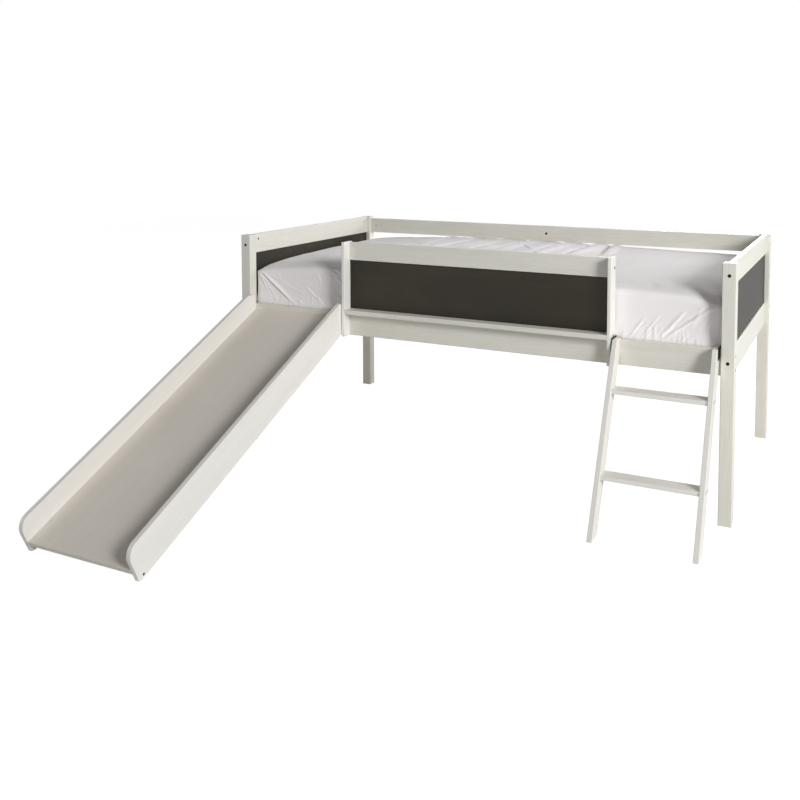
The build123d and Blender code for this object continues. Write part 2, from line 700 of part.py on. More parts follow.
# One screw down through each end of a slat into its ledger
slat_screws = []
slat_screw_rows = {
    "front": front_rail_back + slat_screw_set_in, "back": back_rail_face - slat_screw_set_in}
for name, x_low in zip(slat_names, slat_lefts):
    for row, y_place in slat_screw_rows.items():
        face_point = Vector(x_low + slat_width / 2, y_place, mattress_bottom)
        slat_screws.append(screw(face_point, -z_axis, slat_screw_length))
        drill([name, f"{row}_slat_ledger"], screw_hole(face_point, -z_axis, slat_screw_length))
gather("slat_screws", slat_screws)

# Screws through the slide's panels into its foot bar, and through the hooks into the panels
slide_screws = []
foot_screw_place = on_slope(slide_foot_bar_set_in + slide_foot_screw_set_in,
                            deck_low - slide_foot_bar_height + slide_foot_screw_rise)
hook_screw_places = [
    (plate_front + hook_plate_length / 3, arm_high - hook_arm_height / 2),
    (plate_front + hook_plate_length / 3, arm_high - hook_plate_height + hook_arm_height)]
for side, face_x in {"left": slide_left, "right": slide_right}.items():
    inward = x_axis if side == "left" else -x_axis
    face_point = Vector(face_x, *foot_screw_place)
    slide_screws.append(screw(face_point, inward, foot_bar_screw_length))
    drill([f"slide_{side}_side", "slide_foot_bar"],
          screw_hole(face_point, inward, foot_bar_screw_length))
    for y_place, z_place in hook_screw_places:
        face_point = Vector(face_x, y_place, z_place) - inward * hook_thickness
        slide_screws.append(screw(face_point, inward, hook_screw_length))
        drill(["slide_hooks", f"slide_{side}_side"],
              screw_hole(face_point, inward, hook_screw_length))
gather("slide_screws", slide_screws)

# Dowels that join the battens and the top bar of the slide to its panels
dowels = []
dowel_places = {
    "slide_lower_batten": [], "slide_upper_batten": [], "slide_top_bar": []}
batten_dowel_shares = [0.25, 0.75]
for name, along_low in batten_starts.items():
    for share in batten_dowel_shares:
        dowel_places[name].append(on_slope(along_low + share * slide_batten_width,
                                           deck_low - slide_batten_thickness / 2))
top_bar_rise = on_slope(slope_reaches(top_bar_front, deck_low), deck_low)[1] - slide_top_bar_bottom
for share in batten_dowel_shares:
    dowel_places["slide_top_bar"].append((slide_end_y - slide_top_bar_depth / 2,
                                          slide_top_bar_bottom + share * top_bar_rise))
for name, places in dowel_places.items():
    for y_place, z_place in places:
        for side, inner_x in {"left": bar_left, "right": bar_right}.items():
            inward = x_axis if side == "left" else -x_axis
            start = Vector(inner_x, y_place, z_place) - inward * dowel_panel_depth
            dowels.append(rod(start, inward, dowel_length, dowel_radius))
            hole = rod(start - inward * dowel_gap, inward, dowel_length + 2 * dowel_gap,
                       dowel_radius + dowel_gap)
            drill([f"slide_{side}_side", name], hole)
gather("slide_dowels", dowels)

# Screws through the stiles into the treads, and through the hooks into the stiles
ladder_screws = []
tread_screw_shares = [0.3, 0.7]
for side, outer_x in {"left": ladder_left, "right": ladder_right}.items():
    inward = x_axis if side == "left" else -x_axis
    for name, z_high in ladder_tread_tops.items():
        y_low = ladder_front(z_high) + ladder_tread_set_back
        for share in tread_screw_shares:
            face_point = Vector(outer_x, y_low + share * ladder_tread_depth,
                                z_high - ladder_tread_thickness / 2)
            ladder_screws.append(screw(face_point, inward, tread_screw_length))
            drill([f"ladder_{side}_stile", name],
                  screw_hole(face_point, inward, tread_screw_length))
    for y_place, z_place in hook_screw_places[1:]:
        face_point = Vector(outer_x, y_place, z_place) - inward * hook_thickness
        ladder_screws.append(screw(face_point, inward, hook_screw_length))
        drill(["ladder_hooks", f"ladder_{side}_stile"],
              screw_hole(face_point, inward, hook_screw_length))
gather("ladder_screws", ladder_screws)

os.makedirs("parts", exist_ok=True)
for name, piece in pieces.items():
    export_step(piece, f"parts/{name}.step")
print(len(pieces), "pieces written")
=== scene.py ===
import math

import bmesh
import bpy
import numpy as np
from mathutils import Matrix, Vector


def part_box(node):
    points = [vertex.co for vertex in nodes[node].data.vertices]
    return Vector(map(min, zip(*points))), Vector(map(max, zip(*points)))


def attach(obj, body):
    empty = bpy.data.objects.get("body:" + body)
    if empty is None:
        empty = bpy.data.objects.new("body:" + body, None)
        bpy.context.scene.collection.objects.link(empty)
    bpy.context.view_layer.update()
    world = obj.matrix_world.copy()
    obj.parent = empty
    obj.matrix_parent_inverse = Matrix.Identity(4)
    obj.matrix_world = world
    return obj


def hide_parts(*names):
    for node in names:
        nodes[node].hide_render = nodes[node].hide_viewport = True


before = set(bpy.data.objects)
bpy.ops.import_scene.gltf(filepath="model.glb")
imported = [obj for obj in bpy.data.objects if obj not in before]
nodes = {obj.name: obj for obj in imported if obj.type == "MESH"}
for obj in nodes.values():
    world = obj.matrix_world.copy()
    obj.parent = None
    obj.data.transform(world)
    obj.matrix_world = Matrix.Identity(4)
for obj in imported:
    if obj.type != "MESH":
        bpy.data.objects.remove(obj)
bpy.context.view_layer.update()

# Camera: it stands 1.3 m above the floor and 3.1 m before the posts, past the right end of the
# bed, and is turned left and slightly down. Its lens and place were fitted to posts and rails.
scene = bpy.context.scene
scene.view_settings.view_transform = "Standard"
camera_data = bpy.data.cameras.new("camera")
camera_data.sensor_width = 36.0
camera_data.lens = 41.171
camera_data.shift_x = -0.0365
camera_data.shift_y = -0.258
camera = bpy.data.objects.new("camera", camera_data)
camera.location = (1.43194, -3.07811, 1.31247)
camera.rotation_euler = (math.radians(86.475), 0.0, math.radians(26.241))
scene.collection.objects.link(camera)
scene.camera = camera


# Studio: a dim white room with a bright backdrop. Its main light is a small soft window at the
# front on the right, helped by a weaker one beside it, one behind and a faint one at the left.
def linear(hex_colour):
    """A linear colour from an sRGB hex value: near black over 12.92, elsewhere a power of 2.4."""
    channels = [int(hex_colour[i:i + 2], 16) / 255 for i in (1, 3, 5)]
    return (*[c / 12.92 if c <= 0.04045 else ((c + 0.055) / 1.055) ** 2.4 for c in channels], 1.0)


def add_node(tree, kind, settings=None, inputs=None):
    """One shader node, with its settings, and its socket values or the links that come in.

    A Mix node set to RGBA has its two colours in the sockets 6 and 7, and its third output
    gives the blend.
    """
    node = tree.nodes.new(kind)
    for name, value in (settings or {}).items():
        setattr(node, name, value)
    for name, value in (inputs or {}).items():
        socket = node.inputs[name]
        if isinstance(value, bpy.types.NodeSocket):
            tree.links.new(value, socket)
        else:
            socket.default_value = value
    return node


def seen_by(tree, *kinds):
    """1 for the named kinds of ray and 0 for the others: the largest of the kinds' flags."""
    ray = add_node(tree, "ShaderNodeLightPath")
    flag = ray.outputs[kinds[0]]
    for kind in kinds[1:]:
        larger = add_node(tree, "ShaderNodeMath", {"operation": "MAXIMUM"},
                          {0: flag, 1: ray.outputs[kind]})
        flag = larger.outputs[0]
    return flag


world = bpy.data.worlds.new("white_room")
scene.world = world
world.use_nodes = True
room = world.node_tree
room.nodes.clear()
room_light = add_node(room, "ShaderNodeBackground", None,
                      {"Color": linear("#FFFFFF"), "Strength": 0.12})
backdrop = add_node(room, "ShaderNodeBackground", None,
                    {"Color": linear("#FFFFFF"), "Strength": 1.0})
both = add_node(room, "ShaderNodeMixShader", None, {
    0: seen_by(room, "Is Camera Ray", "Is Glossy Ray", "Is Transmission Ray"),
    1: room_light.outputs[0], 2: backdrop.outputs[0]})
add_node(room, "ShaderNodeOutputWorld", None, {"Surface": both.outputs[0]})

for name, place, aim, size, power in (
        ("window_front", (5.90, -3.68, 3.30), (0.0, 0.0, 0.5), (1.7, 2.0), 338.0),
        ("window_left", (-5.5, -4.5, 2.3), (-0.3, 0.0, 0.5), (3.0, 2.4), 38.0),
        ("window_right", (7.612, -2.040, 3.684), (0.0, 0.0, 0.5), (1.8, 2.2), 95.0),
        ("window_back", (1.0, 5.0, 2.6), (0.0, 0.0, 0.4), (4.0, 2.5), 165.0)):
    lamp = bpy.data.lights.new(name, "AREA")
    lamp.shape = "RECTANGLE"
    lamp.size, lamp.size_y = size
    lamp.energy = power
    lamp_object = bpy.data.objects.new(name, lamp)
    lamp_object.location = place
    back = np.array(place) - np.array(aim)
    turn = math.atan2(back[0], -back[1])
    tilt = math.atan2(math.hypot(back[0], back[1]), back[2])
    lamp_object.rotation_euler = (tilt, 0.0, turn)
    scene.collection.objects.link(lamp_object)


# Floor: white matt vinyl, laid half a millimetre under the feet. What the camera sees of it is
# lifted to paper white, so it runs into the backdrop, and a part of its own shading stays, which
# keeps the shadows at the feet.
def new_material(name):
    """An empty node material, and its tree."""
    material = bpy.data.materials.new(name)
    material.use_nodes = True
    material.node_tree.nodes.clear()
    return material, material.node_tree


floor_reach, floor_drop = 9.0, 0.0005
floor_mesh = bpy.data.meshes.new("floor")
floor_mesh.from_pydata([(x * floor_reach, y * floor_reach, -floor_drop)
                        for x, y in ((-1, -1), (1, -1), (1, 1), (-1, 1))], [], [(0, 1, 2, 3)])
floor = bpy.data.objects.new("floor", floor_mesh)
scene.collection.objects.link(floor)
floor_vinyl, tree = new_material("matt_white_vinyl")
vinyl = add_node(tree, "ShaderNodeBsdfPrincipled", None, {
    "Base Color": linear("#E8E8E6"), "Roughness": 0.9, "Specular IOR Level": 0.0})
lift = add_node(tree, "ShaderNodeEmission", None, {"Color": linear("#FFFFFF"), "Strength": 1.24})
lifted_share = 0.78
share = add_node(tree, "ShaderNodeMath", {"operation": "MULTIPLY"},
                 {0: seen_by(tree, "Is Camera Ray", "Is Glossy Ray"), 1: lifted_share})
mixed = add_node(tree, "ShaderNodeMixShader", None,
                 {0: share.outputs[0], 1: vinyl.outputs[0], 2: lift.outputs[0]})
add_node(tree, "ShaderNodeOutputMaterial", None, {"Surface": mixed.outputs[0]})
floor_mesh.materials.append(floor_vinyl)


# Posts: four square legs of planed pine, rounded along their edges, dipped in a white wash and
# sprayed with satin lacquer paint. Each is bored from two faces for the bolts of the rails.
def coat(tree, inputs):
    """A finish: the Principled shader with these values and links, joined to the output."""
    shader = add_node(tree, "ShaderNodeBsdfPrincipled", None, inputs)
    add_node(tree, "ShaderNodeOutputMaterial", None, {"Surface": shader.outputs[0]})


def object_place(tree, turn=(0, 0, 0)):
    """Object coordinates, turned by angles in degrees so that a board's length lies along X."""
    place = add_node(tree, "ShaderNodeTexCoord")
    turned = add_node(tree, "ShaderNodeMapping", None, {
        "Vector": place.outputs["Object"], "Rotation": [math.radians(a) for a in turn]})
    return turned.outputs[0]


def streaks(tree, place, per_metre, detail, roughness=0.5, distortion=0.0):
    """Streaks: a noise with its own number of cells per metre along each axis."""
    stretched = add_node(tree, "ShaderNodeMapping", None, {"Vector": place, "Scale": per_metre})
    noise = add_node(tree, "ShaderNodeTexNoise", None, {
        "Vector": stretched.outputs[0], "Scale": 1.0, "Detail": detail,
        "Roughness": roughness, "Distortion": distortion})
    return noise.outputs["Fac"]


def growth_rings(tree, place, ring, length, summer_at, spring, summer, next_spring):
    """Pine figure: level lines of a smooth field, drawn out along the board, like cut rings.

    The field is a noise whose cells are 6 rings wide and a board's figure long. Times the count
    of rings, its fraction is a saw that climbs slowly and drops at once. Three colours follow
    the saw: pale spring wood, the dark summer band near its top, and the next spring wood.
    """
    ring_count, cell = 11.0, 6 * ring
    field = streaks(tree, place, (1 / length, 1 / cell, 1 / cell), 1.0, 0.4)
    counted = add_node(tree, "ShaderNodeMath", {"operation": "MULTIPLY"},
                       {0: field, 1: ring_count})
    saw = add_node(tree, "ShaderNodeMath", {"operation": "FRACT"}, {0: counted.outputs[0]})
    band = add_node(tree, "ShaderNodeValToRGB", None, {"Fac": saw.outputs[0]})
    ramp = band.color_ramp.elements
    ramp[0].color = linear(spring)
    ramp[1].position = summer_at
    ramp[1].color = linear(summer)
    ramp.new(1.0).color = linear(next_spring)
    return band.outputs["Color"]


def painted_pine(name, turn, pale="#ECEAE3", grey="#DDDCD2", figure=0.14):
    """Satin white paint on pine: the eye sees a greenish off-white with faint grain under it.

    The summer bands of the wood stand a little proud and show through the thin paint. Real bands
    are 2 to 4 mm apart; they are drawn 7 mm apart, so that they show in the render. The fibres
    are 2.4 mm wide, and the streaks that the wash left are 30 mm wide.
    """
    material, tree = new_material(name)
    place = object_place(tree, turn)
    band = growth_rings(tree, place, 0.007, 0.55, 0.8, "#000000", "#FFFFFF", "#000000")
    fibre = streaks(tree, place, (9.0, 420.0, 420.0), 3.0, 0.6)
    wash = streaks(tree, place, (1.6, 34.0, 34.0), 2.0)
    tone = add_node(tree, "ShaderNodeMix", {"data_type": "RGBA"}, {
        "Factor": wash, 6: linear(pale), 7: linear(grey)})
    shown = add_node(tree, "ShaderNodeMath", {"operation": "MULTIPLY"}, {0: band, 1: figure})
    tone = add_node(tree, "ShaderNodeMix", {"data_type": "RGBA"}, {
        "Factor": shown.outputs[0], 6: tone.outputs[2], 7: linear("#C6BFA9")})
    worn = add_node(tree, "ShaderNodeMath", {"operation": "MULTIPLY"}, {0: fibre, 1: 0.10})
    tone = add_node(tree, "ShaderNodeMix", {"data_type": "RGBA"}, {
        "Factor": worn.outputs[0], 6: tone.outputs[2], 7: linear("#B9B6A4")})
    gloss = add_node(tree, "ShaderNodeMapRange", None, {
        "Value": wash, "To Min": 0.38, "To Max": 0.52})
    raised = add_node(tree, "ShaderNodeBump", None, {
        "Height": band, "Strength": 0.25, "Distance": 0.0002})
    raised = add_node(tree, "ShaderNodeBump", None, {
        "Height": fibre, "Strength": 0.18, "Distance": 0.0002, "Normal": raised.outputs[0]})
    coat(tree, {"Base Color": tone.outputs[2], "Roughness": gloss.outputs[0], "IOR": 1.48,
                "Normal": raised.outputs[0]})
    return material


def dress(material, names):
    """Gives one material to each named solid, in all its slots."""
    for name in names:
        held = nodes[name].data.materials
        if not held:
            held.append(material)
        for i in range(len(held)):
            held[i] = material


pine_upright = painted_pine("painted_pine_upright", (0, 90, 0))
dress(pine_upright, [f"post_{row}_{side}" for row in ("front", "back")
                     for side in ("left", "right")])

# Ends: two painted pine rails between the posts at each end, bolted from the front and the back,
# with a chalkboard panel let into a groove in both rails.
pine_crosswise = painted_pine("painted_pine_crosswise", (0, 0, -90))
dress(pine_crosswise, [f"{side}_end_{level}_rail" for side in ("left", "right")
                       for level in ("top", "lower")])

# Chalkboard: thin hard fibreboard rolled with brownish black board paint. It has a dull sheen at
# flat angles, a grit of 0.7 mm that holds the chalk, and wiped dust in wide soft strokes, about
# 0.45 m long and 0.14 m high.
chalkboard, tree = new_material("matt_chalkboard_paint")
place = object_place(tree)
dust = add_node(tree, "ShaderNodeMapRange", None, {
    "Value": streaks(tree, place, (2.2, 2.2, 7.0), 4.0, 0.55, distortion=0.6),
    "From Min": 0.35, "From Max": 0.8, "To Min": 0.0, "To Max": 0.10})
tone = add_node(tree, "ShaderNodeMix", {"data_type": "RGBA"}, {
    "Factor": dust.outputs[0], 6: linear("#120F09"), 7: linear("#6B6250")})
grit = add_node(tree, "ShaderNodeTexNoise", None, {
    "Vector": place, "Scale": 1400.0, "Detail": 2.0})
rough = add_node(tree, "ShaderNodeBump", None, {
    "Height": grit.outputs["Fac"], "Strength": 0.35, "Distance": 0.0002})
coat(tree, {"Base Color": tone.outputs[2], "Roughness": 0.56, "Specular IOR Level": 0.44,
            "Specular Tint": linear("#FFF7E6"), "Normal": rough.outputs[0]})
dress(chalkboard, ["left_end_chalkboard", "right_end_chalkboard", "guard_chalkboard"])

# Side rails: two long painted pine boards set on edge between the posts, with bolts through the
# posts into their ends. They carry the base, and the front one the slide and the ladder too.
pine_lengthwise = painted_pine("painted_pine_lengthwise", (0, 0, 0))
dress(pine_lengthwise, ["front_side_rail", "back_side_rail"])


# Slatted base: ledgers screwed inside the side rails and eleven slats across them, all of planed
# pine with no paint.
def bare_pine(name, turn):
    """Planed pine: pale yellow spring wood, amber summer bands 4 mm apart, fibres 2 mm wide."""
    material, tree = new_material(name)
    place = object_place(tree, turn)
    band = growth_rings(tree, place, 0.004, 0.45, 0.82, "#E8D2A8", "#C99C63", "#E3CB9E")
    fibre = streaks(tree, place, (8.0, 500.0, 500.0), 3.0, 0.6)
    faint = add_node(tree, "ShaderNodeMath", {"operation": "MULTIPLY"}, {0: fibre, 1: 0.22})
    tone = add_node(tree, "ShaderNodeMix", {"data_type": "RGBA"}, {
        "Factor": faint.outputs[0], 6: band, 7: linear("#B98A56")})
    planed = add_node(tree, "ShaderNodeBump", None, {
        "Height": fibre, "Strength": 0.3, "Distance": 0.0003})
    coat(tree, {"Base Color": tone.outputs[2], "Roughness": 0.62, "Normal": planed.outputs[0]})
    return material


slat_count = 11
bare_lengthwise = bare_pine("bare_pine_lengthwise", (0, 0, 0))
dress(bare_lengthwise, ["front_slat_ledger", "back_slat_ledger"])
dress(bare_pine("bare_pine_crosswise", (0, 0, -90)),
      [f"slat_{i:02d}" for i in range(1, slat_count + 1)])

# Back guard: two painted pine rails between the back posts, bolted through the posts, and an
# upright batten behind them, which bolts through the middle of both rails hold.
dress(pine_lengthwise, ["back_guard_top_rail", "back_guard_lower_rail"])
dress(pine_upright, ["back_guard_batten"])

# Front guard: two uprights screwed to the side rail, a top rail and a chalk ledge, which hold
# the front chalkboard. The uprights have the whiter paint with less grain, which is painted
# light: it makes their fronts brighter than the rails, as the light falls on them.
thick_coat = ("#F6F4F0", "#ECEAE5", 0.06)
dress(painted_pine("painted_pine_on_guard_with_painted_light", (0, 90, 0), *thick_coat),
      ["guard_left_upright", "guard_right_upright"])
dress(pine_lengthwise, ["guard_top_rail", "guard_chalk_ledge"])

# Slide: two painted side panels with rounded noses, grooved for the deck, and cross bars under
# it on dowels of bare pine. The whole slide hooks over the front side rail. Its panels have the
# thick coat too.
slide_slope = 24.6
pine_slide = painted_pine("painted_pine_on_slide", (-slide_slope, 0, -90), *thick_coat)
dress(pine_slide, ["slide_left_side", "slide_right_side"])
dress(pine_lengthwise, ["slide_foot_bar", "slide_lower_batten", "slide_upper_batten",
                        "slide_top_bar"])
dress(bare_lengthwise, ["slide_dowels"])

# Slide deck: plywood rolled with smooth greige enamel. It is a little duller than the frame's
# paint, with clouds of 0.2 m, and with faint rubs down the slope, 17 mm wide and 0.8 m long,
# which are glossier where children have slid.
greige_enamel, tree = new_material("smooth_greige_enamel")
place = object_place(tree, (-slide_slope, 0, -90))
rubs = streaks(tree, place, (1.3, 60.0, 60.0), 4.0, 0.65)
cloud = add_node(tree, "ShaderNodeTexNoise", None, {"Vector": place, "Scale": 5.0, "Detail": 2.0})
tone = add_node(tree, "ShaderNodeMix", {"data_type": "RGBA"}, {
    "Factor": cloud.outputs["Fac"], 6: linear("#EBE4DA"), 7: linear("#DFD8CE")})
faint = add_node(tree, "ShaderNodeMapRange", None, {
    "Value": rubs, "From Min": 0.45, "From Max": 0.8, "To Min": 0.0, "To Max": 0.25})
tone = add_node(tree, "ShaderNodeMix", {"data_type": "RGBA"}, {
    "Factor": faint.outputs[0], 6: tone.outputs[2], 7: linear("#F0ECE4")})
gloss = add_node(tree, "ShaderNodeMapRange", None, {"Value": rubs, "To Min": 0.62, "To Max": 0.5})
scratch = add_node(tree, "ShaderNodeBump", None, {
    "Height": rubs, "Strength": 0.1, "Distance": 0.0002})
coat(tree, {"Base Color": tone.outputs[2], "Roughness": gloss.outputs[0],
            "Specular IOR Level": 0.22, "Normal": scratch.outputs[0]})
dress(greige_enamel, ["slide_deck"])

# Ladder: two leaning stiles, cut level at the foot, with two flat treads screwed between them.
# The treads have the thick coat, and the stiles' coat is a little greyer.
ladder_lean = 64.2
dress(painted_pine("painted_pine_on_ladder", (-ladder_lean, 0, -90), "#EFEDE8", "#E3E1DB", 0.08),
      ["ladder_left_stile", "ladder_right_stile"])
dress(painted_pine("painted_pine_on_treads", (0, 0, 0), *thick_coat),
      ["ladder_lower_tread", "ladder_upper_tread"])

# Hooks and bolts: mild steel in black oxide, rolled and bent for the hooks, with hexagonal
# sockets in the bolt heads. The coat is dark and shines softly, and its tone and its gloss change
# every 6 mm or so.
black_oxide, tree = new_material("black_oxide_steel")
uneven = add_node(tree, "ShaderNodeTexNoise", None, {
    "Vector": object_place(tree), "Scale": 160.0, "Detail": 4.0, "Roughness": 0.6})
tone = add_node(tree, "ShaderNodeMix", {"data_type": "RGBA"}, {
    "Factor": uneven.outputs["Fac"], 6: linear("#141312"), 7: linear("#2B2A29")})
gloss = add_node(tree, "ShaderNodeMapRange", None, {
    "Value": uneven.outputs["Fac"], "To Min": 0.38, "To Max": 0.6})
pitted = add_node(tree, "ShaderNodeBump", None, {
    "Height": uneven.outputs["Fac"], "Strength": 0.2, "Distance": 0.0001})
coat(tree, {"Base Color": tone.outputs[2], "Roughness": gloss.outputs[0], "Metallic": 0.75,
            "Normal": pitted.outputs[0]})
dress(black_oxide, [name for name in nodes if name.endswith(("_bolts", "_hooks", "_screws"))])

# Nuts: round steel cross nuts in the rails and threaded sleeves in the guard, zinc plated, which
# gives a bright bluish grey with turning marks 0.4 mm apart.
zinc_plate, tree = new_material("zinc_plated_steel")
turned = streaks(tree, object_place(tree), (300.0, 300.0, 2600.0), 3.0)
tone = add_node(tree, "ShaderNodeMix", {"data_type": "RGBA"}, {
    "Factor": turned, 6: linear("#C9CBCB"), 7: linear("#A9ACAF")})
gloss = add_node(tree, "ShaderNodeMapRange", None, {
    "Value": turned, "To Min": 0.25, "To Max": 0.42})
coat(tree, {"Base Color": tone.outputs[2], "Roughness": gloss.outputs[0], "Metallic": 1.0})
dress(zinc_plate, ["barrel_nuts", "insert_nuts"])

# Hole plugs: small moulded caps of dark polyethylene, pressed into the bores in the end top
# rails. Their skin is matt, with a fine orange peel of about 1 mm.
cap_plastic, tree = new_material("moulded_polyethylene")
skin = add_node(tree, "ShaderNodeTexNoise", None, {
    "Vector": object_place(tree), "Scale": 900.0, "Detail": 2.0})
tone = add_node(tree, "ShaderNodeMix", {"data_type": "RGBA"}, {
    "Factor": skin.outputs["Fac"], 6: linear("#0C0B0A"), 7: linear("#161413")})
orange_peel = add_node(tree, "ShaderNodeBump", None, {
    "Height": skin.outputs["Fac"], "Strength": 0.15, "Distance": 0.0001})
coat(tree, {"Base Color": tone.outputs[2], "Roughness": 0.7, "Specular IOR Level": 0.15,
            "Normal": orange_peel.outputs[0]})
dress(cap_plastic, ["rail_hole_plugs"])

# Mattress: a foam block in a fitted cotton sheet with elastic corners. The sheet is pulled tight
# from the corners, which draws slanting folds down its sides, it gathers along the hem, and it
# lies loose and crumpled on top, most of all towards the back.
low, high = (np.array(corner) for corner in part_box("mattress"))
middle = (low + high) / 2
pad_inset = np.array([0.001, 0.006, 0.001])
half = (high - low) / 2 - pad_inset
pad_round = 0.008


def rounded_block(rows):
    """A soft block: a cube's six grids, rounded along every edge, whose top then droops.

    The grids have so many rows along X, Y and Z, closer together towards the edges. A point of
    the cube is held to the inner block, whose sides lie one radius in, and the rest of the way
    has its length set to the radius. At a distance d from an edge of the top the top lies lower
    by the sum of depth * exp(-d / reach), and by a quarter ellipse, fall * (1 - sqrt(1 - (1 - d /
    soft)^2)), of which the cube root of the summed cubes counts. A dip, shaped as a bell, is
    added at the front right corner. Lower down all of it fades with the height, so the sides
    follow.
    """
    points, faces = [], []
    for axis in range(3):
        across = [a for a in range(3) if a != axis]
        u, v = (0.4 * t + 0.6 * np.sin(math.pi / 2 * t)
                for t in (np.linspace(-1, 1, rows[a]) for a in across))
        u_grid, v_grid = np.meshgrid(u, v, indexing="ij")
        for side in (-1.0, 1.0):
            cube = np.empty((*u_grid.shape, 3))
            cube[..., axis] = side * half[axis]
            cube[..., across[0]] = u_grid * half[across[0]]
            cube[..., across[1]] = v_grid * half[across[1]]
            inner = np.clip(cube, pad_round - half, half - pad_round)
            away = cube - inner
            away /= np.maximum(np.linalg.norm(away, axis=-1, keepdims=True), 1e-9)
            first = sum(len(grid) for grid in points)
            index = np.arange(u_grid.size).reshape(u_grid.shape) + first
            corners = np.stack([index[:-1, :-1], index[1:, :-1], index[1:, 1:],
                                index[:-1, 1:]], axis=-1).reshape(-1, 4)
            # On half of the grids the corners run the wrong way round and are turned
            if (side > 0) == (axis == 1):
                corners = corners[:, ::-1]
            points.append((inner + pad_round * away).reshape(-1, 3))
            faces.append(corners)
    block = np.concatenate(points)
    droop, rounding, fall = np.zeros(len(block)), np.zeros(len(block)), 0.022
    for axis, edge, depth, reach, soft in (
            (0, -1, 0.036, 0.16, 0.018), (0, 1, 0.014, 0.11, 0.022),
            (1, -1, 0.026, 0.20, 0.070), (1, 1, 0.002, 0.10, 0.040)):
        distance = half[axis] - edge * block[:, axis]
        droop += depth * np.exp(-distance / reach)
        rounding += (fall * (1 - np.sqrt(1 - np.clip(1 - distance / soft, 0, 1) ** 2))) ** 3
    dip_depth, dip_length, dip_width = 0.020, 0.07, 0.16
    dip = dip_depth * np.exp(-((half[0] - block[:, 0]) / dip_length) ** 2
                             - ((half[1] + block[:, 1]) / dip_width) ** 2)
    block[:, 2] -= (droop + rounding ** (1 / 3) + dip) * np.clip(block[:, 2] / half[2], 0, 1)
    return block, np.concatenate(faces)


pad_points, pad_faces = rounded_block((120, 66, 18))
pad_points += middle
pad_mesh = bpy.data.meshes.new("mattress_in_sheet")
pad_mesh.from_pydata(pad_points.tolist(), [], pad_faces.tolist())
pad = bpy.data.objects.new("mattress_in_sheet", pad_mesh)
scene.collection.objects.link(pad)
bpy.context.view_layer.objects.active = pad
weld = pad.modifiers.new("weld", "WELD")
weld.merge_threshold = 0.0002
bpy.ops.object.select_all(action="DESELECT")
pad.select_set(True)
bpy.ops.object.modifier_apply(modifier="weld")


def vertex_places(mesh, attribute="co"):
    """The vertices' places, or their normals, as an array."""
    values = np.empty(len(mesh.vertices) * 3, np.float32)
    if attribute == "co":
        mesh.vertices.foreach_get("co", values)
    else:
        mesh.vertex_normals.foreach_get("vector", values)
    return values.reshape(-1, 3).astype(float)


# The sheet takes up the push of the foam: a short cloth simulation with air pressure, on an even
# mesh. Only what moves outwards stays, and no place moves farther than the sheet's stretch.
cloth_steps, stretch = 20, 0.006
voxels = pad.modifiers.new("voxels", "REMESH")
voxels.mode = "VOXEL"
voxels.voxel_size = 0.009
bpy.ops.object.modifier_apply(modifier="voxels")
before, outward = vertex_places(pad.data), vertex_places(pad.data, "normal")
cloth = pad.modifiers.new("cloth", "CLOTH")
cloth.settings.quality = 4
cloth.settings.mass = 0.3
cloth.settings.use_pressure = True
cloth.settings.uniform_pressure_force = 4.0
cloth.settings.effector_weights.gravity = 0.0
cloth.settings.tension_stiffness = 15.0
cloth.settings.compression_stiffness = 15.0
cloth.settings.bending_stiffness = 0.5
for step in range(1, cloth_steps + 1):
    scene.frame_set(step)
bpy.ops.object.modifier_apply(modifier="cloth")
swell = vertex_places(pad.data) - before
inward = np.minimum((swell * outward).sum(1), 0)
swell -= inward[:, None] * outward
reach = np.linalg.norm(swell, axis=1, keepdims=True)
swell *= np.minimum(1, stretch / np.maximum(reach, 1e-9))
pad.data.vertices.foreach_set("co", (before + swell).astype(np.float32).ravel())
scene.frame_set(1)
finer = pad.modifiers.new("finer", "SUBSURF")
finer.levels = finer.render_levels = 1
bpy.ops.object.modifier_apply(modifier="finer")

# The two open parts of the front, left and right of the guard, show the smallest wrinkles, so
# their mesh is twice as fine.
guard_left_x, guard_right_x = -0.49, 0.60
front_mesh = bmesh.new()
front_mesh.from_mesh(pad.data)
open_edges = {edge for face in front_mesh.faces if face.normal.y < -0.5
              and not guard_left_x < face.calc_center_median().x < guard_right_x
              for edge in face.edges}
bmesh.ops.subdivide_edges(front_mesh, edges=list(open_edges), cuts=1, use_grid_fill=True)
front_mesh.to_mesh(pad.data)
front_mesh.free()

# Folds of the sheet, each a straight line from a start to an end, with a height and a width, all
# in metres. First those that run down from each corner along both of its sides, given by their
# run along the side and their drop. They are deepest at the front left, and shorter along the
# ends than along the front and the back.
chance = np.random.default_rng(7)
front_y, back_y, left_x, right_x, top_z = low[1], high[1], low[0], high[0], high[2]
corner_gap, corner_z = 0.006, top_z - 0.057
slack, end_share = 0.45, 0.8
folds = []
for side_y, sense in ((front_y, 1), (back_y, -1)):
    for side_x, inward in ((left_x, 1), (right_x, -1)):
        pull = 1.0 if (side_x, side_y) == (left_x, front_y) else slack
        for run, drop, height, width in (
                (0.194, 0.146, 0.0085, 0.0052), (0.045, 0.09, 0.0035, 0.005),
                (0.27, 0.12, 0.0014, 0.008), (0.11, 0.15, 0.0016, 0.005)):
            folds.append(((side_x + inward * (corner_gap + run), side_y, corner_z - drop),
                          (side_x + inward * corner_gap, side_y, corner_z),
                          height * pull, width))
            run *= end_share
            folds.append(((side_x, side_y + sense * (corner_gap + run), corner_z - drop),
                          (side_x, side_y + sense * corner_gap, corner_z),
                          height * pull, width))

